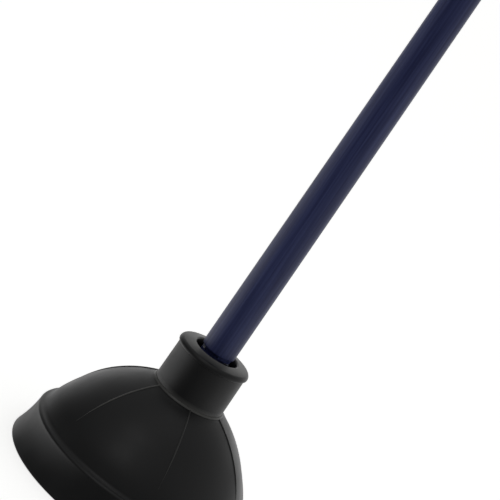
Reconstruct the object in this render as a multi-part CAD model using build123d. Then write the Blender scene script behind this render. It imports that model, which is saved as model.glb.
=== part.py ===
from build123d import *
import math
import os

# Toilet plunger: a moulded rubber force cup on a turned wooden handle.
#
# Frame: millimetres, +Z up along the handle. The origin is on the cup's axis, in the plane of
# the rim that stands on the floor. The cup is one rubber moulding. It is divided here into the
# zones that move against each other when it works, so each zone is a node of its own.

# Cup, outside. A nominal 6 inch cup: a straight skirt, a shelf, a dome and a neck.
RIM_RADIUS = 75.3
CUP_HEIGHT = 104.1
SHELF_RADIUS = 70.6         # the skirt's top, which stands out under the dome
SHELF_LOW = 21.2            # where the skirt's side ends and the shelf's edge begins
SHELF_HIGH = 23.2           # the shelf's outer corner
SHELF_ROUND = 2.0
SKIRT_BOW = 0.8             # how far the skirt's side curves inwards from a straight cone
FOOT_OF_DOME_RADIUS = 67.4
FOOT_OF_DOME_HEIGHT = 24.0
CROWN_RADIUS = 23.3         # where the dome meets the foot of the neck
CROWN_HEIGHT = 73.0
DOME_ARC_RADIUS = 84.0

# Cup, wall
SKIRT_WALL = 3.4            # at the rim
KNEE_WALL = 4.7             # at the knee inside the skirt
KNEE_HEIGHT = 20.0
KNEE_ROUND = 10.0
KNEE_FILL = 0.3             # what that rounding adds to the wall at the knee
DOME_WALL = 4.8
RIM_ROUND = 0.5
RIM_ROUND_INSIDE = 0.8
RIM_CORNER = 0.23           # what that rounding takes off the rim's radius

# Neck, its lip and the socket for the handle
NECK_RADIUS_FOOT = 22.6
NECK_RADIUS_TOP = 22.3
NECK_FOOT_HEIGHT = 0.8      # of the small slope from the neck's side to the dome
LIP_RADIUS = 23.4
LIP_HEIGHT = 5.0
LIP_CROWN = 1.8             # how far the lip's top falls from the mouth to its edge
LIP_ROUND = 2.6
LIP_ROUND_BELOW = 0.9
MOUTH_RADIUS = 13.8
MOUTH_ROUND = 1.2
MOUTH_DEPTH = 8.0
MOUTH_FUNNEL = 4.0
SOCKET_RADIUS = 9.9
SOCKET_FLOOR = 63.8
SOCKET_BOTTOM = 59.0
BOSS_RADIUS = 16.0
BOSS_ROUND = 3.0
BOSS_SHOULDER = 2.0         # of the slope between the boss and the underside of the dome

# Screw thread between the handle and the socket: 5 turns to the inch, right-handed
PITCH = 5.08
THREAD_CREST = 9.6
THREAD_ROOT = 7.2
GROOVE_AT_CREST = 3.4       # width of the groove in the wood, at its mouth and at its floor
GROOVE_AT_ROOT = 1.5
RIDGE_SINK = 0.2            # how deep the ridge starts in the tenon's core
THREAD_CLEARANCE = 0.3
RIB_TURNS = 5
RIB_START = 66.1

# Handle, 21 inches long, that swells from its grip towards the threaded end
HANDLE_LENGTH = 533.4
GRIP_RADIUS = 9.8
FOOT_RADIUS = 10.7
SHOULDER_HEIGHT = 105.3
SWELL_LENGTH = 260.0
TIP_HEIGHT = 64.1
NOSE_LENGTH = 4.0
NOSE_RADIUS = 6.9
NOSE_ROUND = 1.5
END_ROUND = 7.0
SHOULDER_BEVEL = 0.5

# Fold-out flange, tucked up inside the cup
FLANGE_MOUTH_RADIUS = 37.0
FLANGE_TOP_RADIUS = 42.0
FLANGE_LOW = 4.0
FLANGE_HIGH = 31.0
FLANGE_WALL = 2.6
LIP_BEAD = 1.5              # how far the thick lip of the flange stands out
LIP_BEAD_FLAT = 2.25        # height of its upright side, and of the slope above it
LIP_BEAD_SLOPE = 3.0
LIP_BEAD_ROUND = 1.2
LIP_BEAD_ROUND_INSIDE = 1.0
WEB_WALL = 2.0
WEB_ROOT_HEIGHT = 20.0
WEB_ROOT_LEAN = 0.55        # the root's edge lies along the skirt's slope
WEB_RISE = 1.4              # how far the web bows upwards between its two edges

SEAM_GAP = 0.1              # between zones of the moulding that move apart


def turned(outline, rounds=()):
    """Solid of revolution about Z. The outline is closed and lies in the XZ plane.
    Each of rounds is the corner's (radius, height) and the rounding radius there."""
    face = make_face(outline)
    for corner, radius in rounds:
        vertex = face.vertices().sort_by_distance(corner)[0]
        face = fillet(vertex, radius)
    return revolve(Plane.XZ * face, Axis.Z)


def closed(*points):
    """Closed straight-sided outline."""
    return Polyline(*points, close=True)


def bowed(start, end, bow):
    """Arc between two points whose middle stands off the chord by bow, to its left."""
    run, rise = end[0] - start[0], end[1] - start[1]
    span = math.hypot(run, rise)
    middle = ((start[0] + end[0]) / 2 - rise / span * bow,
              (start[1] + end[1]) / 2 + run / span * bow)
    return ThreePointArc(start, middle, end)


def helical_bar(outer, inner, width_outer, width_inner, bottom, turns):
    """Bar of trapezoidal section wound on a right-handed helix, between two radii."""
    middle = (outer + inner) / 2
    path = Location((0, 0, bottom)) * Helix(PITCH, PITCH * turns, middle)
    start = Plane(origin=path @ 0, x_dir=(1, 0, 0), z_dir=path % 0)
    half_outer, half_inner = width_outer / 2, width_inner / 2
    section = make_face(closed((outer - middle, -half_outer), (outer - middle, half_outer),
                               (inner - middle, half_inner), (inner - middle, -half_inner)))
    return sweep(start * section, path=path, is_frenet=True)


def dome_side(depth):
    """Low end, middle and high end of the dome's side, at a depth under its outer surface."""
    low, high = (FOOT_OF_DOME_RADIUS, FOOT_OF_DOME_HEIGHT), (CROWN_RADIUS, CROWN_HEIGHT)
    run, rise = high[0] - low[0], high[1] - low[1]
    span = math.hypot(run, rise)
    drop = math.sqrt(DOME_ARC_RADIUS ** 2 - (span / 2) ** 2)
    centre = ((low[0] + high[0]) / 2 - rise / span * drop,
              (low[1] + high[1]) / 2 + run / span * drop)
    radius = DOME_ARC_RADIUS - depth
    angle_low = math.asin((FOOT_OF_DOME_HEIGHT - centre[1]) / radius)
    angle_high = math.acos((CROWN_RADIUS - centre[0]) / radius)
    return [(centre[0] + radius * math.cos(a), centre[1] + radius * math.sin(a))
            for a in (angle_low, (angle_low + angle_high) / 2, angle_high)]


def cup_skirt():
    """Flared lower wall, from the flat rim up to the shelf that the dome stands on."""
    rim_out, rim_in = (RIM_RADIUS + RIM_CORNER, 0), (RIM_RADIUS - SKIRT_WALL, 0)
    side_top, shelf_corner = (SHELF_RADIUS, SHELF_LOW), (SHELF_RADIUS, SHELF_HIGH)
    dome_out, dome_in = dome_side(0)[0], dome_side(DOME_WALL)[0]
    knee = (SHELF_RADIUS - KNEE_WALL, KNEE_HEIGHT)
    outline = (bowed(rim_out, side_top, SKIRT_BOW) + Line(side_top, shelf_corner)
               + Line(shelf_corner, dome_out) + Line(dome_out, dome_in) + Line(dome_in, knee)
               + Line(knee, rim_in) + Line(rim_in, rim_out))
    return turned(outline, [(rim_out, RIM_ROUND), (rim_in, RIM_ROUND_INSIDE),
                            (shelf_corner, SHELF_ROUND), (knee, KNEE_ROUND)])


def cup_dome():
    """Bell-shaped wall from the shelf up to the foot of the neck."""
    outer, inner = dome_side(0), dome_side(DOME_WALL)
    return turned(ThreePointArc(*outer) + Line(outer[2], inner[2]) + ThreePointArc(*inner[::-1])
                  + Line(inner[0], outer[0]))


def cup_collar():
    """Neck with a rolled lip, a wide mouth and a blind socket that the handle screws into."""
    lip_edge, lip_low = CUP_HEIGHT - LIP_CROWN, CUP_HEIGHT - LIP_HEIGHT
    funnel_top = CUP_HEIGHT - MOUTH_DEPTH
    foot = CROWN_RADIUS - SEAM_GAP
    foot_low = CROWN_HEIGHT - DOME_WALL - BOSS_SHOULDER
    outline = closed(
        (MOUTH_RADIUS, CUP_HEIGHT), (LIP_RADIUS, lip_edge), (LIP_RADIUS, lip_low),
        (NECK_RADIUS_TOP, lip_low), (NECK_RADIUS_FOOT, CROWN_HEIGHT + NECK_FOOT_HEIGHT),
        (foot, CROWN_HEIGHT), (foot, foot_low), (BOSS_RADIUS, foot_low - BOSS_SHOULDER),
        (BOSS_RADIUS, SOCKET_BOTTOM), (0, SOCKET_BOTTOM), (0, SOCKET_FLOOR),
        (SOCKET_RADIUS, SOCKET_FLOOR), (SOCKET_RADIUS, funnel_top - MOUTH_FUNNEL),
        (MOUTH_RADIUS, funnel_top))
    return turned(outline, [
        ((LIP_RADIUS, lip_edge), LIP_ROUND), ((LIP_RADIUS, lip_low), LIP_ROUND_BELOW),
        ((MOUTH_RADIUS, CUP_HEIGHT), MOUTH_ROUND), ((BOSS_RADIUS, SOCKET_BOTTOM), BOSS_ROUND)])


def socket_thread():
    """Rubber rib inside the socket, in mesh with the groove in the wood."""
    slack = 2 * THREAD_CLEARANCE
    return helical_bar(SOCKET_RADIUS, THREAD_ROOT + THREAD_CLEARANCE, GROOVE_AT_CREST - slack,
                       GROOVE_AT_ROOT - slack, RIB_START, RIB_TURNS)


def handle():
    """Round wooden rod: rounded top end, straight grip, swelling foot, threaded tenon."""
    top = TIP_HEIGHT + HANDLE_LENGTH
    swell_top = SHOULDER_HEIGHT + SWELL_LENGTH
    thread_low = TIP_HEIGHT + NOSE_LENGTH
    outline = closed(
        (0, thread_low), (THREAD_ROOT, thread_low), (THREAD_ROOT, SHOULDER_HEIGHT),
        (FOOT_RADIUS, SHOULDER_HEIGHT), (GRIP_RADIUS, swell_top), (GRIP_RADIUS, top), (0, top))
    rod = turned(outline, [((GRIP_RADIUS, top), END_ROUND),
                           ((FOOT_RADIUS, SHOULDER_HEIGHT), SHOULDER_BEVEL)])
    ridge_low = RIB_START - PITCH / 2
    turns = math.ceil((SHOULDER_HEIGHT - ridge_low) / PITCH)
    ridge = helical_bar(THREAD_CREST, THREAD_ROOT - RIDGE_SINK, PITCH - GROOVE_AT_CREST,
                        PITCH - GROOVE_AT_ROOT, ridge_low, turns)
    threaded = Pos(0, 0, thread_low) * Cylinder(
        FOOT_RADIUS, SHOULDER_HEIGHT - thread_low + SHOULDER_BEVEL,
        align=(Align.CENTER, Align.CENTER, Align.MIN))
    return rod + (ridge & threaded)


def handle_nose():
    """Plain turned nose below the last turn of the thread."""
    high = TIP_HEIGHT + NOSE_LENGTH
    return turned(closed((0, TIP_HEIGHT), (NOSE_RADIUS, TIP_HEIGHT), (NOSE_RADIUS, high),
                         (0, high)), [((NOSE_RADIUS, TIP_HEIGHT), NOSE_ROUND)])


def flange_tube():
    """Tapered spout of the flange, with a thickened lip round its mouth."""
    low_in, high_in = FLANGE_MOUTH_RADIUS, FLANGE_TOP_RADIUS - FLANGE_WALL
    low_out = low_in + FLANGE_WALL
    bead_high = FLANGE_LOW + LIP_BEAD_FLAT
    outline = closed(
        (low_in, FLANGE_LOW), (low_out + LIP_BEAD, FLANGE_LOW), (low_out + LIP_BEAD, bead_high),
        (low_out, bead_high + LIP_BEAD_SLOPE), (FLANGE_TOP_RADIUS, FLANGE_HIGH),
        (high_in, FLANGE_HIGH))
    return turned(outline, [((low_out + LIP_BEAD, FLANGE_LOW), LIP_BEAD_ROUND),
                            ((low_in, FLANGE_LOW), LIP_BEAD_ROUND_INSIDE)])


def flange_web():
    """Thin wall that joins the spout to the inside of the cup and rolls when it folds out."""
    inner = FLANGE_TOP_RADIUS + SEAM_GAP
    outer = SHELF_RADIUS - KNEE_WALL - KNEE_FILL - SEAM_GAP
    low_in, high_in = (inner, FLANGE_HIGH - 2 * WEB_WALL), (inner, FLANGE_HIGH - WEB_WALL)
    low_out = (outer + WEB_ROOT_LEAN, WEB_ROOT_HEIGHT - WEB_WALL)
    high_out = (outer, WEB_ROOT_HEIGHT)
    return turned(bowed(low_in, low_out, WEB_RISE) + Line(low_out, high_out)
                  + bowed(high_out, high_in, -WEB_RISE) + Line(high_in, low_in))


PARTS = [handle, handle_nose, cup_collar, socket_thread, cup_dome, cup_skirt, flange_tube,
         flange_web]

os.makedirs("parts", exist_ok=True)
for make in PARTS:
    export_step(make(), f"parts/{make.__name__}.step")
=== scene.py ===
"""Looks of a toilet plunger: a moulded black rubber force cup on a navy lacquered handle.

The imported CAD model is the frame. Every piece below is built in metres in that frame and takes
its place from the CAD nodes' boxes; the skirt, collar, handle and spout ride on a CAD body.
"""
import logging
import math
from dataclasses import dataclass
from enum import Enum

import bpy
from mathutils import Matrix, Vector


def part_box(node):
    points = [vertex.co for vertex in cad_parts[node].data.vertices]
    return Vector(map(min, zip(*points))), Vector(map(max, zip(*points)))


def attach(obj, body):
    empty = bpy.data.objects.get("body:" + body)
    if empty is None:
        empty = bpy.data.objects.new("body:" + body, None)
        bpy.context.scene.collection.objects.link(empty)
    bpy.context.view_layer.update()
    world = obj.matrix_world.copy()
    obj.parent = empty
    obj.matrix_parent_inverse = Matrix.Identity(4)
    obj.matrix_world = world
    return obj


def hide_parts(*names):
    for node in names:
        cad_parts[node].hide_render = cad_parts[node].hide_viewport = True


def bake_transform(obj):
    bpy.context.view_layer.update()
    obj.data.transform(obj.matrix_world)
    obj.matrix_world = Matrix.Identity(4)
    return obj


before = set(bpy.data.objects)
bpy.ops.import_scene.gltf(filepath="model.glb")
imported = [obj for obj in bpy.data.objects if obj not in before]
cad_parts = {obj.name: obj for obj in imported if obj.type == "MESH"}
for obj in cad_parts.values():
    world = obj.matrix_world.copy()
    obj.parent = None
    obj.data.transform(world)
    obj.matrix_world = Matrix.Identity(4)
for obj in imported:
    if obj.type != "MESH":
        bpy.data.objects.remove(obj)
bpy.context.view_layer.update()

MM = 0.001
LOG = logging.getLogger("plunger")
# Edges that turn more than this stay sharp in the shading.
SHARP = math.radians(38)
# A point nearer the axis than this, in metres, is on it.
ON_AXIS = 1e-7

Point = tuple[float, float]


class Slot(Enum):
    """Material slots of the record."""

    WOOD = "lacquered_wood"
    RUBBER = "black_rubber"


class Body(Enum):
    """Bodies of the record that pieces ride on."""

    CUP = "cup"
    COLLAR = "collar"
    HANDLE = "handle"
    FLANGE = "flange"


# ---------------------------------------------------------------------------------------------
# Shared tools


def linear(code: str) -> tuple[float, float, float, float]:
    """Turns an sRGB hex colour into a linear one.

    Args:
        code: The colour as "#rrggbb".

    Returns:
        Linear red, green, blue and an alpha of 1.
    """
    parts = [int(code[i:i + 2], 16) / 255 for i in (1, 3, 5)]
    red, green, blue = [c / 12.92 if c <= 0.04045 else ((c + 0.055) / 1.055) ** 2.4
                        for c in parts]
    return red, green, blue, 1.0


def add_node(tree: bpy.types.NodeTree, kind: str, settings: dict | None = None,
             inputs: dict | None = None) -> bpy.types.Node:
    """Adds one node with its settings, and links or sets its inputs.

    Args:
        tree: The node tree to add to.
        kind: The node's type name.
        settings: Attribute names and values, set before the inputs.
        inputs: Input names or numbers, each with a value or with a socket to link.

    Returns:
        The new node.
    """
    node = tree.nodes.new(kind)
    for name, value in (settings or {}).items():
        setattr(node, name, value)
    for name, value in (inputs or {}).items():
        if isinstance(value, bpy.types.NodeSocket):
            tree.links.new(value, node.inputs[name])
        else:
            node.inputs[name].default_value = value
    return node


def rounded(corners: list[tuple[float, float, float]], steps: int = 8) -> list[Point]:
    """Rounds the corners of a closed outline.

    Args:
        corners: Each corner's distance from the axis, height and rounding radius, where 0
            leaves it sharp.
        steps: How many steps each rounding takes.

    Returns:
        The outline's points, in the same order.
    """
    outline: list[Point] = []
    for i, (r, z, radius) in enumerate(corners):
        here = Vector((r, z))
        if radius == 0:
            outline.append((r, z))
            continue
        before = (Vector(corners[i - 1][:2]) - here).normalized()
        after = (Vector(corners[(i + 1) % len(corners)][:2]) - here).normalized()
        half = before.angle(after) / 2
        reach = radius / math.tan(half)
        centre = here + (before + after).normalized() * radius / math.sin(half)
        first, last = here + before * reach - centre, here + after * reach - centre
        turn = first.angle_signed(last)
        for k in range(steps + 1):
            spoke = first.copy()
            spoke.rotate(Matrix.Rotation(-turn * k / steps, 2))
            outline.append(tuple(centre + spoke))
    return outline


def lathe(name: str, outline: list[Point], closed: bool = True,
          segments: int = 180) -> bpy.types.Object:
    """Turns an outline round the Z axis into a smooth mesh.

    Args:
        name: The piece's name.
        outline: Distance from the axis and height of each point, in metres.
        closed: Whether the last point joins the first.
        segments: How many steps go round the axis.

    Returns:
        The new object, at the origin. Points on the axis are merged into poles.
    """
    rings: list[list[int]] = []
    verts: list[tuple[float, float, float]] = []
    for r, z in outline:
        if r < ON_AXIS:
            rings.append([len(verts)] * segments)
            verts.append((0.0, 0.0, z))
            continue
        rings.append(list(range(len(verts), len(verts) + segments)))
        for k in range(segments):
            a = math.tau * k / segments
            verts.append((r * math.cos(a), r * math.sin(a), z))
    pairs = list(zip(rings, rings[1:] + rings[:1] if closed else rings[1:]))
    faces = []
    for low, high in pairs:
        for k in range(segments):
            n = (k + 1) % segments
            corners = [low[k], low[n], high[n], high[k]]
            kept = [c for i, c in enumerate(corners) if c != corners[i - 1]]
            if len(kept) > 2:
                faces.append(kept)
    mesh = bpy.data.meshes.new(name)
    mesh.from_pydata(verts, [], faces)
    mesh.validate()
    mesh.polygons.foreach_set("use_smooth", [True] * len(mesh.polygons))
    mesh.set_sharp_from_angle(angle=SHARP)
    piece = bpy.data.objects.new(name, mesh)
    bpy.context.scene.collection.objects.link(piece)
    return piece


def baked(name: str, tree: bpy.types.NodeTree, values: dict[str, float | int | bpy.types.Material],
          source: bpy.types.Object | None = None) -> bpy.types.Object:
    """Runs a Geometry Nodes tree and keeps its result as a plain mesh.

    Args:
        name: The new piece's name.
        tree: The tree, whose inputs have names.
        values: A value for each named input.
        source: The object whose mesh the tree starts from, which is used up.

    Returns:
        A new object at the origin with no modifier left on it.
    """
    carrier = source or bpy.data.objects.new(name + "_carrier", bpy.data.meshes.new(name))
    if source is None:
        bpy.context.scene.collection.objects.link(carrier)
    modifier = carrier.modifiers.new(tree.name, "NODES")
    modifier.node_group = tree
    sockets = {s.name: s.identifier for s in tree.interface.items_tree if s.in_out == "INPUT"}
    for key, value in values.items():
        modifier[sockets[key]] = value
    bpy.context.view_layer.update()
    evaluated = carrier.evaluated_get(bpy.context.evaluated_depsgraph_get())
    mesh = bpy.data.meshes.new_from_object(evaluated)
    carrier.modifiers.remove(modifier)
    bpy.data.objects.remove(carrier)
    mesh.name = name
    piece = bpy.data.objects.new(name, mesh)
    bpy.context.scene.collection.objects.link(piece)
    return piece


def new_tree(name: str, sockets: dict[str, str]) -> tuple[bpy.types.NodeTree, bpy.types.Node]:
    """Starts a Geometry Nodes tree with named inputs.

    Args:
        name: The tree's name.
        sockets: Each input's name and socket type.

    Returns:
        The tree and its group input node.
    """
    tree = bpy.data.node_groups.new(name, "GeometryNodeTree")
    tree.interface.new_socket(name="Geometry", in_out="OUTPUT", socket_type="NodeSocketGeometry")
    for label, kind in sockets.items():
        tree.interface.new_socket(name=label, in_out="INPUT", socket_type=kind)
    return tree, tree.nodes.new("NodeGroupInput")


def end_tree(tree: bpy.types.NodeTree, geometry: bpy.types.NodeSocket,
             material: bpy.types.NodeSocket) -> None:
    """Ends a tree in Realize Instances, smooth shading and Set Material.

    Args:
        tree: The tree to end.
        geometry: The geometry to give out.
        material: The socket that holds the material.
    """
    real = add_node(tree, "GeometryNodeRealizeInstances", None, {"Geometry": geometry})
    smooth = add_node(tree, "GeometryNodeSetShadeSmooth", None, {"Geometry": real.outputs[0]})
    dressed = add_node(tree, "GeometryNodeSetMaterial", None,
                       {"Geometry": smooth.outputs[0], "Material": material})
    add_node(tree, "NodeGroupOutput", None, {"Geometry": dressed.outputs[0]})


def paint_highlight(piece: bpy.types.Object, spots: list[tuple[float, float, float]], reach: float) -> None:
    """Stores a painted highlight on a turned piece, as a share that fades out round some rings.

    Args:
        piece: The piece.
        spots: Each ring's distance from the axis, height and share of painted highlight.
        reach: How far from a ring the painted highlight ends.
    """
    layer = piece.data.attributes.new("highlight_share", "FLOAT", "POINT")
    for vertex, value in zip(piece.data.vertices, layer.data):
        here = Vector((math.hypot(vertex.co.x, vertex.co.y), vertex.co.z))
        value.value = max(highlight_share * max(0.0, 1 - (here - Vector((r, z))).length / reach)
                          for r, z, highlight_share in spots)


def dress(piece: bpy.types.Object, material: bpy.types.Material) -> None:
    """Gives a piece its material.

    Args:
        piece: The piece.
        material: Its finish.
    """
    piece.data.materials.clear()
    piece.data.materials.append(material)


def report(piece: bpy.types.Object) -> None:
    """Logs a finished piece's name and how many faces it has."""
    LOG.info("%s: %d faces", piece.name, len(piece.data.polygons))


# ---------------------------------------------------------------------------------------------
# Finishes


@dataclass(frozen=True)
class MouldedRubber:
    """Black natural rubber, compression moulded. It gives the eye a soft, slightly uneven sheen
    that lifts to grey where the surface turns away, over an almost black body. A pale grey is
    painted on as a painted highlight, by the share of it that the mesh carries."""

    name: str = "moulded_black_rubber"
    body: str = "#0a0a0b"
    bloom: str = "#111213"
    # Pale grey painted on as a highlight where the mesh carries a share of it.
    painted_highlight_grey: str = "#6c6c69"
    roughness: float = 0.4
    roughness_swing: float = 0.07
    ior: float = 1.52
    specular: float = 0.34
    cloud_mm: float = 28.0
    # The mould's blasted grain is about 0.2 mm, drawn at 0.9 mm so that it shows.
    grain_mm: float = 0.9
    grain_strength: float = 0.12
    grain_height_mm: float = 0.05
    cloud_low: float = 0.3
    cloud_high: float = 0.7

    def build(self) -> bpy.types.Material:
        """Builds the material.

        Returns:
            A procedural material on Object coordinates.
        """
        material = bpy.data.materials.new(self.name)
        material.use_nodes = True
        tree = material.node_tree
        tree.nodes.clear()
        place = add_node(tree, "ShaderNodeTexCoord").outputs["Object"]
        cloud = add_node(tree, "ShaderNodeTexNoise", None,
                         {"Vector": place, "Scale": 1 / (self.cloud_mm * MM), "Detail": 5.0,
                          "Roughness": 0.6}).outputs["Fac"]
        grain = add_node(tree, "ShaderNodeTexNoise", None,
                         {"Vector": place, "Scale": 1 / (self.grain_mm * MM), "Detail": 2.0})
        tone = add_node(tree, "ShaderNodeMix", {"data_type": "RGBA"},
                        {"Factor": cloud, "A": linear(self.body), "B": linear(self.bloom)})
        # Painted highlight: the pale grey is mixed in by the share stored on the mesh.
        highlight_share = add_node(tree, "ShaderNodeAttribute", {"attribute_name": "highlight_share"})
        with_highlight = add_node(tree, "ShaderNodeMix", {"data_type": "RGBA"},
                          {"Factor": highlight_share.outputs["Fac"], "A": tone.outputs["Result"],
                           "B": linear(self.painted_highlight_grey)})
        rough = add_node(tree, "ShaderNodeMapRange", None,
                         {"Value": cloud, "From Min": self.cloud_low, "From Max": self.cloud_high,
                          "To Min": self.roughness - self.roughness_swing,
                          "To Max": self.roughness + self.roughness_swing})
        bump = add_node(tree, "ShaderNodeBump", None,
                        {"Strength": self.grain_strength,
                         "Distance": self.grain_height_mm * MM, "Height": grain.outputs["Fac"]})
        shader = add_node(tree, "ShaderNodeBsdfPrincipled", None,
                          {"Base Color": with_highlight.outputs["Result"],
                           "Roughness": rough.outputs[0], "IOR": self.ior,
                           "Specular IOR Level": self.specular, "Normal": bump.outputs[0]})
        add_node(tree, "ShaderNodeOutputMaterial", None, {"Surface": shader.outputs[0]})
        return material


@dataclass(frozen=True)
class LacqueredWood:
    """Turned hardwood under a navy lacquer. It gives the eye fine streaks of grain along the rod
    in a deep blue, under a soft satin sheen with a few pale nicks."""

    name: str = "navy_lacquered_wood"
    deep: str = "#1a224f"
    light: str = "#373f6c"
    nick: str = "#c8cad2"
    roughness: float = 0.42
    ior: float = 1.5
    specular: float = 0.32
    coat: float = 0.1
    coat_roughness: float = 0.3
    streak_mm: float = 1.3
    streak_length_mm: float = 60.0
    band_width_in_streaks: float = 5.0
    band_length_in_streaks: float = 2.0
    band_share: float = 0.4
    tone_low: float = 0.38
    tone_high: float = 0.62
    grain_strength: float = 0.15
    grain_height_mm: float = 0.08
    nick_mm: float = 16.0
    # A nick's solid middle and its outer edge, as shares of the distance between nicks.
    nick_core: float = 0.02
    nick_edge: float = 0.035

    def build(self) -> bpy.types.Material:
        """Builds the material.

        Returns:
            A procedural material on Object coordinates, with its grain along Z.
        """
        material = bpy.data.materials.new(self.name)
        material.use_nodes = True
        tree = material.node_tree
        tree.nodes.clear()
        place = add_node(tree, "ShaderNodeTexCoord").outputs["Object"]
        across, along = 1 / (self.streak_mm * MM), 1 / (self.streak_length_mm * MM)
        wide, long = across / self.band_width_in_streaks, along / self.band_length_in_streaks
        grain_place = add_node(tree, "ShaderNodeMapping", None,
                               {"Vector": place, "Scale": (across, across, along)})
        grain = add_node(tree, "ShaderNodeTexNoise", None,
                         {"Vector": grain_place.outputs[0], "Scale": 1.0, "Detail": 4.0,
                          "Roughness": 0.55})
        band_place = add_node(tree, "ShaderNodeMapping", None,
                              {"Vector": place, "Scale": (wide, wide, long)})
        band = add_node(tree, "ShaderNodeTexNoise", None,
                        {"Vector": band_place.outputs[0], "Scale": 1.0, "Detail": 2.0})
        mixed = add_node(tree, "ShaderNodeMix", {"data_type": "FLOAT"},
                         {"Factor": self.band_share, "A": grain.outputs["Fac"],
                          "B": band.outputs["Fac"]})
        tone = add_node(tree, "ShaderNodeMapRange", None,
                        {"Value": mixed.outputs["Result"], "From Min": self.tone_low,
                         "From Max": self.tone_high})
        blue = add_node(tree, "ShaderNodeMix", {"data_type": "RGBA"},
                        {"Factor": tone.outputs[0], "A": linear(self.deep),
                         "B": linear(self.light)})
        cells = add_node(tree, "ShaderNodeTexVoronoi", None,
                         {"Vector": place, "Scale": 1 / (self.nick_mm * MM)})
        nicks = add_node(tree, "ShaderNodeMapRange", None,
                         {"Value": cells.outputs["Distance"], "From Min": self.nick_core,
                          "From Max": self.nick_edge, "To Min": 1.0, "To Max": 0.0})
        colour = add_node(tree, "ShaderNodeMix", {"data_type": "RGBA"},
                          {"Factor": nicks.outputs[0], "A": blue.outputs["Result"],
                           "B": linear(self.nick)})
        bump = add_node(tree, "ShaderNodeBump", None,
                        {"Strength": self.grain_strength,
                         "Distance": self.grain_height_mm * MM, "Height": grain.outputs["Fac"]})
        shader = add_node(tree, "ShaderNodeBsdfPrincipled", None,
                          {"Base Color": colour.outputs["Result"], "Roughness": self.roughness,
                           "IOR": self.ior, "Specular IOR Level": self.specular,
                           "Coat Weight": self.coat, "Coat Roughness": self.coat_roughness,
                           "Normal": bump.outputs[0]})
        add_node(tree, "ShaderNodeOutputMaterial", None, {"Surface": shader.outputs[0]})
        return material


# ---------------------------------------------------------------------------------------------
# Screw thread, shared by the wooden tenon and the rubber socket


@dataclass
class ScrewThread:
    """A ridge of trapezoidal section on a right-handed helix round Z."""

    name: str
    pitch: float
    base_radius: float
    crest_radius: float
    base_width: float
    crest_width: float
    bottom: float
    turns: float
    steps_per_turn: int = 72

    def tree(self) -> bpy.types.NodeTree:
        """Builds the tree that winds the section along the helix.

        Returns:
            The tree, whose inputs are the ridge's sizes and finish.
        """
        tree, given = new_tree(self.name + "_tree", {
            "Pitch": "NodeSocketFloat", "Turns": "NodeSocketFloat", "Steps": "NodeSocketInt",
            "Middle Radius": "NodeSocketFloat", "Depth": "NodeSocketFloat",
            "Outer Width": "NodeSocketFloat", "Inner Width": "NodeSocketFloat",
            "Bottom": "NodeSocketFloat", "Finish": "NodeSocketMaterial"})
        out = given.outputs
        rise = add_node(tree, "ShaderNodeMath", {"operation": "MULTIPLY"},
                        {0: out["Pitch"], 1: out["Turns"]})
        path = add_node(tree, "GeometryNodeCurveSpiral", None,
                        {"Resolution": out["Steps"], "Rotations": out["Turns"],
                         "Start Radius": out["Middle Radius"],
                         "End Radius": out["Middle Radius"], "Height": rise.outputs[0]})
        upright = add_node(tree, "GeometryNodeSetCurveNormal", {"mode": "Z_UP"},
                           {"Curve": path.outputs[0]})
        section = add_node(tree, "GeometryNodeCurvePrimitiveQuadrilateral",
                           {"mode": "TRAPEZOID"},
                           {"Height": out["Depth"], "Bottom Width": out["Outer Width"],
                            "Top Width": out["Inner Width"], "Offset": 0.0})
        turned = add_node(tree, "GeometryNodeTransform", None,
                          {"Geometry": section.outputs[0],
                           "Rotation": (0.0, 0.0, math.radians(90))})
        bar = add_node(tree, "GeometryNodeCurveToMesh", None,
                       {"Curve": upright.outputs[0], "Profile Curve": turned.outputs[0],
                        "Fill Caps": True})
        lift = add_node(tree, "ShaderNodeCombineXYZ", None, {"Z": out["Bottom"]})
        placed = add_node(tree, "GeometryNodeTransform", None,
                          {"Geometry": bar.outputs[0], "Translation": lift.outputs[0]})
        end_tree(tree, placed.outputs[0], out["Finish"])
        return tree

    def build(self, material: bpy.types.Material) -> bpy.types.Object:
        """Winds the ridge.

        Args:
            material: The ridge's finish.

        Returns:
            The ridge as a plain mesh.
        """
        widths = [(self.base_radius, self.base_width), (self.crest_radius, self.crest_width)]
        (inner, inner_width), (outer, outer_width) = sorted(widths)
        piece = baked(self.name, self.tree(), {
            "Pitch": self.pitch, "Turns": self.turns, "Steps": self.steps_per_turn,
            "Middle Radius": (inner + outer) / 2, "Depth": outer - inner,
            "Outer Width": outer_width, "Inner Width": inner_width, "Bottom": self.bottom,
            "Finish": material})
        piece.data.set_sharp_from_angle(angle=SHARP)
        return piece


# ---------------------------------------------------------------------------------------------
# Sub-assemblies


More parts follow.
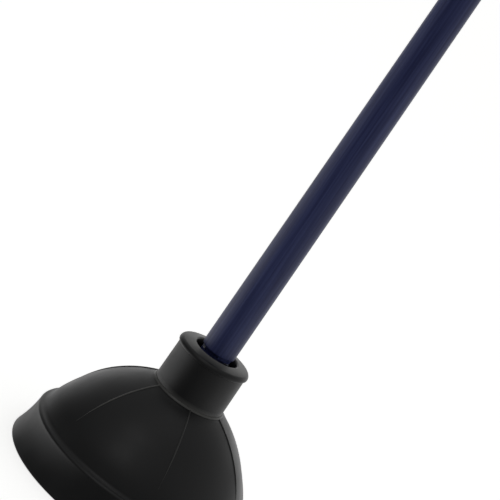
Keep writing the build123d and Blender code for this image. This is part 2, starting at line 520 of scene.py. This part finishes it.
@dataclass
class Handle:
    """Turned rod with a rounded end, a straight grip, a swollen foot and a threaded tenon."""

    foot_radius: float = 10.7 * MM
    grip_radius: float = 9.8 * MM
    shoulder: float = 105.3 * MM
    swell: float = 260.0 * MM
    end_round: float = 7.0 * MM
    bevel: float = 0.5 * MM
    root_radius: float = 7.2 * MM
    crest_radius: float = 9.6 * MM
    pitch: float = 5.08 * MM
    ridge_at_root: float = 3.58 * MM
    ridge_at_crest: float = 1.68 * MM
    ridge_bottom: float = 68.64 * MM
    sink: float = 0.2 * MM

    def rod(self) -> bpy.types.Object:
        """Turns the rod, from the tenon's core to the rounded top.

        Returns:
            The rod, with its poles closed.
        """
        low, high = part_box("handle")
        swell_top = self.shoulder + self.swell
        body = rounded([(self.root_radius, low.z, 0.0), (self.root_radius, self.shoulder, 0.0),
                        (self.foot_radius, self.shoulder, self.bevel),
                        (self.grip_radius, swell_top, 0.0),
                        (self.grip_radius, high.z, self.end_round), (0.0, high.z, 0.0),
                        (0.0, low.z, 0.0)], steps=12)
        return lathe("handle_rod", body, segments=144)

    def build(self, material: bpy.types.Material) -> list[bpy.types.Object]:
        """Builds and places the handle.

        Args:
            material: The lacquered wood.

        Returns:
            The rod and its thread.
        """
        rod = self.rod()
        turns = (self.shoulder - self.ridge_bottom) / self.pitch
        thread = ScrewThread("handle_thread", self.pitch, self.root_radius - self.sink,
                             self.crest_radius, self.ridge_at_root, self.ridge_at_crest,
                             self.ridge_bottom, turns).build(material)
        for piece in (rod, thread):
            dress(piece, material)
            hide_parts("handle")
            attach(piece, Body.HANDLE.value)
        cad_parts["handle_nose"].data.materials.clear()
        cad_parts["handle_nose"].data.materials.append(material)
        return [rod, thread]


@dataclass
class Collar:
    """Neck of the cup, with a rolled lip, a wide mouth and a blind threaded socket."""

    top: float = 104.1 * MM
    neck_foot: float = 22.6 * MM
    neck_top: float = 22.3 * MM
    ring_height: float = 0.95 * MM
    ring_round: float = 0.5 * MM
    ring_corner: float = 0.1 * MM
    # Painted highlight: the ring at the neck's foot and rings on the lip's top are painted paler
    # grey, fading out over the reach.
    ring_highlight: float = 0.5
    lip_highlight: float = 0.9
    highlight_rings: tuple[float, ...] = (15.0 * MM, 17.0 * MM, 19.0 * MM)
    highlight_reach: float = 3.0 * MM
    lip_height: float = 5.0 * MM
    lip_crown: float = 1.8 * MM
    lip_round: float = 2.6 * MM
    lip_round_below: float = 0.9 * MM
    ledge_corner: float = 0.12 * MM
    mouth_radius: float = 13.8 * MM
    mouth_round: float = 1.2 * MM
    mouth_depth: float = 8.0 * MM
    funnel: float = 4.0 * MM
    socket_radius: float = 9.9 * MM
    socket_floor: float = 63.8 * MM
    socket_corner: float = 0.5 * MM
    funnel_round: float = 1.0 * MM
    boss_radius: float = 16.0 * MM
    boss_round: float = 3.0 * MM
    boss_slope: float = 2.0 * MM
    dome_wall: float = 4.8 * MM
    seam: float = 0.1 * MM
    rib_pitch: float = 5.08 * MM
    rib_crest: float = 7.5 * MM
    rib_at_wall: float = 2.8 * MM
    rib_at_crest: float = 0.9 * MM
    rib_bottom: float = 66.1 * MM
    rib_turns: float = 5.0

    def shell(self) -> bpy.types.Object:
        """Turns the collar's body.

        Returns:
            The collar, closed at the bottom of its socket.
        """
        low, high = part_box("cup_collar")
        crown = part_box("cup_dome")[1].z
        lip = high.x
        foot = crown - self.dome_wall
        mouth = self.top - self.mouth_depth
        edge = lip - self.seam * 2
        ledge = self.top - self.lip_height
        outline = rounded([
            (self.mouth_radius, self.top, self.mouth_round),
            (lip, self.top - self.lip_crown, self.lip_round),
            (lip, ledge, self.lip_round_below),
            (self.neck_top, ledge, self.ledge_corner),
            # This point and the mouth's last point keep the painted highlight from spreading along
            # the neck and the mouth wall.
            (self.neck_foot, crown + self.ring_height + self.highlight_reach, 0.0),
            (self.neck_foot, crown + self.ring_height, self.ring_corner),
            (edge, crown + self.ring_height, self.ring_round),
            (lip + self.ring_round, crown - self.seam, self.ring_corner),
            (edge, crown - self.ring_round, 0.0),
            (edge, foot - self.boss_slope, 0.0),
            (self.boss_radius, foot - self.boss_slope * 2, self.funnel_round),
            (self.boss_radius, low.z, self.boss_round),
            (0.0, low.z, 0.0),
            (0.0, self.socket_floor, 0.0),
            (self.socket_radius, self.socket_floor, self.socket_corner),
            (self.socket_radius, mouth - self.funnel, self.funnel_round),
            (self.mouth_radius, mouth, self.funnel_round),
            (self.mouth_radius, self.top - self.mouth_round - self.highlight_reach, 0.0)], steps=12)
        return lathe("collar", outline[::-1], segments=180)

    def build(self, material: bpy.types.Material) -> list[bpy.types.Object]:
        """Builds and places the collar.

        Args:
            material: The moulded rubber.

        Returns:
            The collar and the rib in its socket.
        """
        shell = self.shell()
        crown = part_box("cup_dome")[1].z
        # Painted highlight on the lip's top face and on the ring at the neck's foot.
        face = [(r, self.top - self.lip_crown / 3, self.lip_highlight) for r in self.highlight_rings]
        ring = (self.neck_foot + self.ring_round, crown + self.ring_height / 2, self.ring_highlight)
        paint_highlight(shell, face + [ring], self.highlight_reach)
        rib = ScrewThread("socket_rib", self.rib_pitch, self.socket_radius, self.rib_crest,
                          self.rib_at_wall, self.rib_at_crest, self.rib_bottom,
                          self.rib_turns).build(material)
        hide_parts("cup_collar")
        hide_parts("socket_thread")
        for piece in (shell, rib):
            dress(piece, material)
            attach(piece, Body.COLLAR.value)
        return [shell, rib]


@dataclass
class Dome:
    """Bell of the cup: six gores that meet in creases with a fine bead along each."""

    arc_radius: float = 84.0 * MM
    wall: float = 4.8 * MM
    seam: float = 0.1 * MM
    gores: int = 6
    first_crease: float = -75.0
    flatness: float = 0.024
    flat_from: float = 0.06
    flat_to: float = 0.55
    fade_to: float = 0.88
    bead_to: float = 0.8
    bead_width: float = 0.5 * MM
    bead_height: float = 0.5 * MM
    # A bead thins from this share of its length on, to this share of its width.
    taper_from: float = 0.55
    taper_to: float = 0.15
    arc_steps: int = 90
    section_steps: int = 10
    # Largest random share of painted highlight on a crease bead.
    bead_highlight: float = 0.6
    bead_seed: int = 1
    steps_round: int = 360
    steps_up: int = 72

    def arc(self) -> tuple[Point, float, float]:
        """Centre of the bell's arc, and the angles of its top and bottom, in radians.

        Returns:
            The centre's distance from the axis and height, then the two angles.
        """
        low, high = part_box("cup_dome")
        bottom, top = (high.x, low.z), (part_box("cup_collar")[1].x - self.seam, high.z)
        run, rise = top[0] - bottom[0], top[1] - bottom[1]
        span = math.hypot(run, rise)
        drop = math.sqrt(self.arc_radius ** 2 - (span / 2) ** 2)
        centre = ((bottom[0] + top[0]) / 2 - rise / span * drop,
                  (bottom[1] + top[1]) / 2 + run / span * drop)
        angles = [math.atan2(p[1] - centre[1], p[0] - centre[0]) for p in (top, bottom)]
        return centre, angles[0], angles[1]

    def bell_tree(self) -> bpy.types.NodeTree:
        """Builds the tree that wraps a grid into the gored bell.

        Returns:
            The tree, whose inputs are the bell's sizes and finish.
        """
        tree, given = new_tree("gored_bell", {
            "Steps Round": "NodeSocketInt", "Steps Up": "NodeSocketInt",
            "Centre Radius": "NodeSocketFloat", "Centre Height": "NodeSocketFloat",
            "Arc Radius": "NodeSocketFloat", "Top Angle": "NodeSocketFloat",
            "Bottom Angle": "NodeSocketFloat", "Gores": "NodeSocketInt",
            "First Crease": "NodeSocketFloat", "Flatness": "NodeSocketFloat",
            "Flat From": "NodeSocketFloat", "Flat To": "NodeSocketFloat",
            "Fade To": "NodeSocketFloat", "Finish": "NodeSocketMaterial"})
        out = given.outputs
        sheet = add_node(tree, "GeometryNodeMeshGrid", None,
                         {"Size X": 1.0, "Size Y": 1.0, "Vertices X": out["Steps Round"],
                          "Vertices Y": out["Steps Up"]})
        at = add_node(tree, "ShaderNodeSeparateXYZ", None,
                      {0: add_node(tree, "GeometryNodeInputPosition").outputs[0]})
        turn = add_node(tree, "ShaderNodeMath", {"operation": "MULTIPLY"},
                        {0: at.outputs["X"], 1: math.tau})
        down = add_node(tree, "ShaderNodeMath", {"operation": "SUBTRACT"},
                        {0: 0.5, 1: at.outputs["Y"]})
        tilt = add_node(tree, "ShaderNodeMapRange", None,
                        {"Value": down.outputs[0], "To Min": out["Top Angle"],
                         "To Max": out["Bottom Angle"]})
        cosine = add_node(tree, "ShaderNodeMath", {"operation": "COSINE"}, {0: tilt.outputs[0]})
        sine = add_node(tree, "ShaderNodeMath", {"operation": "SINE"}, {0: tilt.outputs[0]})
        radius = add_node(tree, "ShaderNodeMath", {"operation": "MULTIPLY_ADD"},
                          {0: cosine.outputs[0], 1: out["Arc Radius"], 2: out["Centre Radius"]})
        height = add_node(tree, "ShaderNodeMath", {"operation": "MULTIPLY_ADD"},
                          {0: sine.outputs[0], 1: out["Arc Radius"], 2: out["Centre Height"]})
        # Share of a gore's half width that a point lies from the gore's middle, 0 to 1.
        past = add_node(tree, "ShaderNodeMath", {"operation": "SUBTRACT"},
                        {0: turn.outputs[0], 1: out["First Crease"]})
        gore = add_node(tree, "ShaderNodeMath", {"operation": "DIVIDE"},
                        {0: math.tau, 1: out["Gores"]})
        share = add_node(tree, "ShaderNodeMath", {"operation": "DIVIDE"},
                         {0: past.outputs[0], 1: gore.outputs[0]})
        inside = add_node(tree, "ShaderNodeMath", {"operation": "FLOORED_MODULO"},
                          {0: share.outputs[0], 1: 1.0})
        off = add_node(tree, "ShaderNodeMath", {"operation": "MULTIPLY_ADD"},
                       {0: inside.outputs[0], 1: 2.0, 2: -1.0})
        square = add_node(tree, "ShaderNodeMath", {"operation": "MULTIPLY"},
                          {0: off.outputs[0], 1: off.outputs[0]})
        sag = add_node(tree, "ShaderNodeMath", {"operation": "SUBTRACT"},
                       {0: 1.0, 1: square.outputs[0]})
        rise = add_node(tree, "ShaderNodeMapRange", {"interpolation_type": "SMOOTHSTEP"},
                        {"Value": down.outputs[0], "From Max": out["Flat From"]})
        fade = add_node(tree, "ShaderNodeMapRange", {"interpolation_type": "SMOOTHSTEP"},
                        {"Value": down.outputs[0], "From Min": out["Flat To"],
                         "From Max": out["Fade To"], "To Min": out["Flatness"], "To Max": 0.0})
        depth = add_node(tree, "ShaderNodeMath", {"operation": "MULTIPLY"},
                         {0: rise.outputs[0], 1: fade.outputs[0]})
        pull = add_node(tree, "ShaderNodeMath", {"operation": "MULTIPLY"},
                        {0: depth.outputs[0], 1: sag.outputs[0]})
        keep = add_node(tree, "ShaderNodeMath", {"operation": "SUBTRACT"},
                        {0: 1.0, 1: pull.outputs[0]})
        drawn = add_node(tree, "ShaderNodeMath", {"operation": "MULTIPLY"},
                         {0: radius.outputs[0], 1: keep.outputs[0]})
        east = add_node(tree, "ShaderNodeMath", {"operation": "COSINE"}, {0: turn.outputs[0]})
        north = add_node(tree, "ShaderNodeMath", {"operation": "SINE"}, {0: turn.outputs[0]})
        x = add_node(tree, "ShaderNodeMath", {"operation": "MULTIPLY"},
                     {0: drawn.outputs[0], 1: east.outputs[0]})
        y = add_node(tree, "ShaderNodeMath", {"operation": "MULTIPLY"},
                     {0: drawn.outputs[0], 1: north.outputs[0]})
        place = add_node(tree, "ShaderNodeCombineXYZ", None,
                         {"X": x.outputs[0], "Y": y.outputs[0], "Z": height.outputs[0]})
        bell = add_node(tree, "GeometryNodeSetPosition", None,
                        {"Geometry": sheet.outputs[0], "Position": place.outputs[0]})
        joined = add_node(tree, "GeometryNodeMergeByDistance", None,
                          {"Geometry": bell.outputs[0], "Distance": 1e-6})
        end_tree(tree, joined.outputs[0], out["Finish"])
        return tree

    def bead_tree(self) -> bpy.types.NodeTree:
        """Builds the tree that lays one bead down each crease.

        Returns:
            The tree, whose inputs are the beads' sizes and finish.
        """
        tree, given = new_tree("crease_beads", {
            "Centre Radius": "NodeSocketFloat", "Centre Height": "NodeSocketFloat",
            "Arc Radius": "NodeSocketFloat", "Top Angle": "NodeSocketFloat",
            "Sweep": "NodeSocketFloat", "Gores": "NodeSocketInt",
            "First Crease": "NodeSocketFloat", "Width": "NodeSocketFloat",
            "Flattening": "NodeSocketFloat", "Highlight": "NodeSocketFloat", "Seed": "NodeSocketInt",
            "Finish": "NodeSocketMaterial"})
        out = given.outputs
        arc = add_node(tree, "GeometryNodeCurveArc", {"mode": "RADIUS"},
                       {"Resolution": self.arc_steps, "Radius": out["Arc Radius"],
                        "Start Angle": out["Top Angle"], "Sweep Angle": out["Sweep"]})
        along = add_node(tree, "GeometryNodeSplineParameter").outputs["Factor"]
        taper = add_node(tree, "ShaderNodeMapRange", {"interpolation_type": "SMOOTHSTEP"},
                         {"Value": along, "From Min": self.taper_from, "From Max": 1.0,
                          "To Min": 1.0, "To Max": self.taper_to})
        section = add_node(tree, "GeometryNodeCurvePrimitiveCircle", None,
                           {"Resolution": self.section_steps, "Radius": out["Width"]})
        flat = add_node(tree, "ShaderNodeCombineXYZ", None,
                        {"X": 1.0, "Y": out["Flattening"], "Z": 1.0})
        lens = add_node(tree, "GeometryNodeTransform", None,
                        {"Geometry": section.outputs[0], "Scale": flat.outputs[0]})
        bead = add_node(tree, "GeometryNodeCurveToMesh", None,
                        {"Curve": arc.outputs[0], "Profile Curve": lens.outputs[0],
                         "Scale": taper.outputs[0], "Fill Caps": True})
        shift = add_node(tree, "ShaderNodeCombineXYZ", None,
                         {"X": out["Centre Radius"], "Z": out["Centre Height"]})
        upright = add_node(tree, "GeometryNodeTransform", None,
                           {"Geometry": bead.outputs[0], "Translation": shift.outputs[0],
                            "Rotation": (math.radians(90), 0.0, 0.0)})
        hubs = add_node(tree, "GeometryNodePoints", None, {"Count": out["Gores"]})
        step = add_node(tree, "ShaderNodeMath", {"operation": "DIVIDE"},
                        {0: math.tau, 1: out["Gores"]})
        turn = add_node(tree, "ShaderNodeMath", {"operation": "MULTIPLY_ADD"},
                        {0: add_node(tree, "GeometryNodeInputIndex").outputs[0],
                         1: step.outputs[0], 2: out["First Crease"]})
        spin = add_node(tree, "ShaderNodeCombineXYZ", None, {"Z": turn.outputs[0]})
        ring = add_node(tree, "GeometryNodeInstanceOnPoints", None,
                        {"Points": hubs.outputs[0], "Instance": upright.outputs[0],
                         "Rotation": spin.outputs[0]})
        # Painted highlight: each bead gets a random share of the pale grey.
        share = add_node(tree, "FunctionNodeRandomValue", {"data_type": "FLOAT"},
                         {"Max": out["Highlight"], "Seed": out["Seed"]})
        with_highlight = add_node(tree, "GeometryNodeStoreNamedAttribute",
                          {"data_type": "FLOAT", "domain": "INSTANCE"},
                          {"Geometry": ring.outputs[0], "Name": "highlight_share",
                           "Value": share.outputs["Value"]})
        end_tree(tree, with_highlight.outputs[0], out["Finish"])
        return tree

    def build(self, material: bpy.types.Material) -> list[bpy.types.Object]:
        """Builds and places the bell between the cup and the collar.

        Args:
            material: The moulded rubber.

        Returns:
            The bell and its beads.
        """
        centre, top, bottom = self.arc()
        crease = math.radians(self.first_crease)
        bell = baked("dome", self.bell_tree(), {
            "Steps Round": self.steps_round + 1, "Steps Up": self.steps_up + 1,
            "Centre Radius": centre[0], "Centre Height": centre[1],
            "Arc Radius": self.arc_radius, "Top Angle": top, "Bottom Angle": bottom,
            "Gores": self.gores, "First Crease": crease, "Flatness": self.flatness,
            "Flat From": self.flat_from, "Flat To": self.flat_to, "Fade To": self.fade_to,
            "Finish": material})
        beads = baked("dome_beads", self.bead_tree(), {
            "Centre Radius": centre[0], "Centre Height": centre[1],
            "Arc Radius": self.arc_radius, "Top Angle": top,
            "Sweep": (bottom - top) * self.bead_to, "Gores": self.gores,
            "First Crease": crease, "Width": self.bead_width,
            "Flattening": self.bead_height / self.bead_width, "Highlight": self.bead_highlight,
            "Seed": self.bead_seed, "Finish": material})
        wall = bell.modifiers.new("wall", "SOLIDIFY")
        wall.thickness = self.wall
        wall.offset = -1.0
        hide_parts("cup_dome")
        for piece in (bell, beads):
            dress(piece, material)
            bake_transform(piece)
        return [bell, beads]


@dataclass
class Skirt:
    """Flared wall from the rim up to the shelf, which runs softly up into the dome's foot."""

    corner: float = 0.22 * MM
    bow: float = 0.8 * MM
    wall: float = 3.4 * MM
    shelf_radius: float = 70.6 * MM
    shelf_low: float = 21.2 * MM
    shelf_high: float = 23.2 * MM
    shelf_round: float = 2.0 * MM
    foot_round: float = 3.2 * MM
    foot_rise: float = 2.0 * MM
    foot_lean: float = 0.66 * MM
    inner_top: float = 62.2 * MM
    inner_step: float = 1.6 * MM
    knee_radius: float = 65.9 * MM
    knee_height: float = 20.0 * MM
    knee_round: float = 10.0 * MM
    rim_round: float = 0.5 * MM
    rim_round_inside: float = 0.8 * MM
    side_steps: int = 14

    def build(self, material: bpy.types.Material) -> list[bpy.types.Object]:
        """Builds and places the skirt.

        Args:
            material: The moulded rubber.

        Returns:
            The skirt.
        """
        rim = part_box("cup_skirt")[1].x
        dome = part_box("cup_dome")
        foot_radius, foot_height = dome[1].x, dome[0].z
        edge = rim + self.corner
        outline: list[tuple[float, float, float]] = [(edge, 0.0, self.rim_round)]
        for i in range(1, self.side_steps + 1):
            t = i / self.side_steps
            inwards = 4 * self.bow * t * (1 - t)
            outline.append((edge + (self.shelf_radius - edge) * t - inwards,
                            self.shelf_low * t, 0.0))
        outline += [(self.shelf_radius, self.shelf_high, self.shelf_round),
                    (foot_radius, foot_height, self.foot_round),
                    (foot_radius - self.foot_lean, foot_height + self.foot_rise, 0.0),
                    (foot_radius - self.foot_lean - self.foot_rise, foot_height, 0.0),
                    (self.inner_top, foot_height, 0.0),
                    (self.inner_top, foot_height - self.inner_step, 0.0),
                    (self.knee_radius, self.knee_height, self.knee_round),
                    (rim - self.wall, 0.0, self.rim_round_inside)]
        skirt = lathe("skirt", rounded(outline), segments=240)
        dress(skirt, material)
        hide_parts("cup_skirt")
        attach(skirt, Body.CUP.value)
        return [skirt]


@dataclass
class Flange:
    """Fold-out spout, tucked up inside the cup, and the thin web that carries it."""

    mouth_radius: float = 37.0 * MM
    wall: float = 2.6 * MM
    bead: float = 1.5 * MM
    lip_in_beads: float = 2.5
    lip_round: float = 1.2 * MM
    lip_round_inside: float = 1.0 * MM
    lip_round_above: float = 0.8 * MM
    throat_round: float = 2.0 * MM
    root_round: float = 0.6 * MM
    root_round_inside: float = 0.9 * MM
    web_wall: float = 2.0 * MM
    web_rise: float = 1.4 * MM
    web_steps: int = 24

    def spout(self) -> bpy.types.Object:
        """Turns the spout, with its thick lip.

        Returns:
            The spout.
        """
        low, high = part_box("flange_tube")
        top_out = high.x
        lip_out = low.z + self.lip_in_beads * self.bead
        outer = self.mouth_radius + self.wall
        return lathe("flange_spout", rounded([
            (self.mouth_radius, low.z, self.lip_round_inside),
            (outer + self.bead, low.z, self.lip_round),
            (outer + self.bead, lip_out - self.bead, self.lip_round_above),
            (outer, lip_out + self.bead, self.throat_round),
            (top_out, high.z, self.root_round),
            (top_out - self.wall, high.z, self.root_round_inside)]), segments=180)

    def web(self) -> bpy.types.Object:
        """Turns the web as one sheet, which gets its thickness from a modifier.

        Returns:
            The web.
        """
        low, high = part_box("flange_web")
        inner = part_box("flange_tube")[1].x
        outer = high.x
        inner_height, outer_height = high.z, low.z + self.web_wall
        sheet = []
        for i in range(self.web_steps + 1):
            t = i / self.web_steps
            bow = 4 * self.web_rise * t * (1 - t)
            sheet.append((outer + (inner - outer) * t,
                          outer_height + (inner_height - outer_height) * t + bow))
        piece = lathe("flange_web", sheet, closed=False, segments=180)
        wall = piece.modifiers.new("wall", "SOLIDIFY")
        wall.thickness = self.web_wall
        wall.offset = -1.0
        return piece

    def build(self, material: bpy.types.Material) -> list[bpy.types.Object]:
        """Builds and places the flange.

        Args:
            material: The moulded rubber.

        Returns:
            The spout and the web.
        """
        spout, web = self.spout(), self.web()
        for piece in (spout, web):
            dress(piece, material)
        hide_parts("flange_tube")
        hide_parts("flange_web")
        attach(spout, Body.FLANGE.value)
        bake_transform(web)
        return [spout, web]


# ---------------------------------------------------------------------------------------------
# Studio


@dataclass
class Studio:
    """Pale floor, soft lights and the camera."""

    distance: float = 1.2
    height: float = 0.4626
    yaw: float = -0.85
    pitch: float = 13.92
    roll: float = 34.3
    lens: float = 155.8
    floor_colour: str = "#f6f6f5"
    floor_glow: float = 0.68
    floor_half: float = 30.0
    floor_roughness: float = 0.9
    softboxes: tuple[tuple[str, tuple[float, float, float], float, float], ...] = (
        ("softbox_left", (-0.6, -1.0, 1.6), 0.6, 1.2),
        ("softbox_top", (-0.1, 0.0, 2.4), 0.8, 1.0))
    table_front_left: float = 0.1
    table_front_right: float = 0.45
    table_left: float = 1.7
    table_right: float = 0.85
    table_back: float = 0.75
    wall_front: float = 0.19
    wall_left: float = 0.11
    wall_right: float = 0.6
    ceiling: float = 0.4
    wall_back: float = 1.0

    def camera(self) -> None:
        """Places the camera, tilted about its own axis."""
        yaw, pitch, roll = (math.radians(a) for a in (self.yaw, self.pitch, self.roll))
        ahead = Vector((math.sin(yaw) * math.cos(pitch), math.cos(yaw) * math.cos(pitch),
                        -math.sin(pitch)))
        right = ahead.cross(Vector((0, 0, 1))).normalized()
        up = right.cross(ahead)
        turned_right = right * math.cos(roll) + up * math.sin(roll)
        turned_up = up * math.cos(roll) - right * math.sin(roll)
        data = bpy.data.cameras.new("camera")
        data.lens = self.lens
        data.sensor_width = 36.0
        camera = bpy.data.objects.new("camera", data)
        axes = Matrix((turned_right, turned_up, -ahead)).transposed().to_4x4()
        camera.matrix_world = Matrix.Translation((0.0, -self.distance, self.height)) @ axes
        bpy.context.scene.collection.objects.link(camera)
        bpy.context.scene.camera = camera

    def light(self, name: str, place: tuple[float, float, float], size: float, power: float,
              aim: tuple[float, float, float] = (0.0, 0.0, 0.15)) -> None:
        """Adds one soft area light.

        Args:
            name: The light's name.
            place: Where it stands, in metres.
            size: The side of its square, in metres.
            power: Its power in watts.
            aim: The point that it faces.
        """
        data = bpy.data.lights.new(name, "AREA")
        data.shape = "SQUARE"
        data.size = size
        data.energy = power
        lamp = bpy.data.objects.new(name, data)
        ahead = Vector(aim) - Vector(place)
        turn = ahead.to_track_quat("-Z", "Y").to_matrix().to_4x4()
        lamp.matrix_world = Matrix.Translation(place) @ turn
        lamp.visible_camera = False
        bpy.context.scene.collection.objects.link(lamp)

    def floor(self) -> None:
        """Lays the floor, a backlit white table that neither lights the object nor shows in it."""
        half = self.floor_half
        mesh = bpy.data.meshes.new("floor")
        mesh.from_pydata([(-half, -half, 0), (half, -half, 0), (half, half, 0), (-half, half, 0)],
                         [], [(0, 1, 2, 3)])
        floor = bpy.data.objects.new("floor", mesh)
        floor.visible_glossy = False
        floor.visible_diffuse = False
        bpy.context.scene.collection.objects.link(floor)
        material = bpy.data.materials.new("matt_white_floor")
        material.use_nodes = True
        shader = material.node_tree.nodes["Principled BSDF"]
        shader.inputs["Base Color"].default_value = linear(self.floor_colour)
        shader.inputs["Roughness"].default_value = self.floor_roughness
        shader.inputs["Specular IOR Level"].default_value = 0.0
        shader.inputs["Emission Color"].default_value = linear(self.floor_colour)
        shader.inputs["Emission Strength"].default_value = self.floor_glow
        mesh.materials.append(material)

    def surroundings(self) -> None:
        """Sets up the room: a table that is pale to the left and right and dark in front, walls
        that are low beside it and bright behind, and a soft ceiling."""
        world = bpy.data.worlds.new("studio")
        world.use_nodes = True
        tree = world.node_tree
        tree.nodes.clear()
        toward = add_node(tree, "ShaderNodeSeparateXYZ", None,
                          {0: add_node(tree, "ShaderNodeTexCoord").outputs["Generated"]})

        def share(axis: str, low: float, high: float) -> bpy.types.NodeSocket:
            """Runs smoothly from 0 to 1 between two places on an axis.

            Args:
                axis: The axis of the direction looked in.
                low: Where the share is 0.
                high: Where the share is 1.

            Returns:
                The socket that holds the share.
            """
            return add_node(tree, "ShaderNodeMapRange", {"interpolation_type": "SMOOTHSTEP"},
                            {"Value": toward.outputs[axis], "From Min": low,
                             "From Max": high}).outputs[0]

        def between(part: bpy.types.NodeSocket, low: float | bpy.types.NodeSocket,
                    high: float | bpy.types.NodeSocket) -> bpy.types.NodeSocket:
            """Mixes two brightnesses.

            Args:
                part: The share of the second one.
                low: The first brightness.
                high: The second brightness.

            Returns:
                The socket that holds the mix.
            """
            return add_node(tree, "ShaderNodeMix", {"data_type": "FLOAT"},
                            {"Factor": part, "A": low, "B": high}).outputs["Result"]

        beside, right = share("Y", -0.8, -0.15), share("X", -0.5, 0.6)
        near = between(share("X", -0.4, 0.6), self.table_front_left, self.table_front_right)
        table = between(share("Y", 0.2, 0.85),
                        between(beside, near, between(right, self.table_left, self.table_right)),
                        self.table_back)
        sides = between(beside, self.wall_front, between(right, self.wall_left, self.wall_right))
        wall = between(share("Y", 0.5, 1.0), sides, self.wall_back)
        above = between(share("Z", 0.1, 0.8), wall, self.ceiling)
        strength = between(share("Z", -0.32, -0.1), table, above)
        light = add_node(tree, "ShaderNodeBackground", None,
                         {"Color": linear("#ffffff"), "Strength": strength})
        add_node(tree, "ShaderNodeOutputWorld", None, {"Surface": light.outputs[0]})
        bpy.context.scene.world = world

    def build(self) -> None:
        """Sets up the whole studio."""
        self.floor()
        self.surroundings()
        for name, place, size, power in self.softboxes:
            self.light(name, place, size, power)
        bpy.context.scene.view_settings.view_transform = "Standard"
        self.camera()


def main() -> None:
    """Builds every piece in order, then the studio."""
    logging.basicConfig(level=logging.INFO, format="%(name)s %(message)s")
    rubber = MouldedRubber().build()
    wood = LacqueredWood().build()
    built = [(Skirt(), rubber), (Dome(), rubber), (Collar(), rubber), (Flange(), rubber),
             (Handle(), wood)]
    for assembly, material in built:
        for piece in assembly.build(material):
            report(piece)
    Studio().build()


if __name__ == "__main__":
    main()
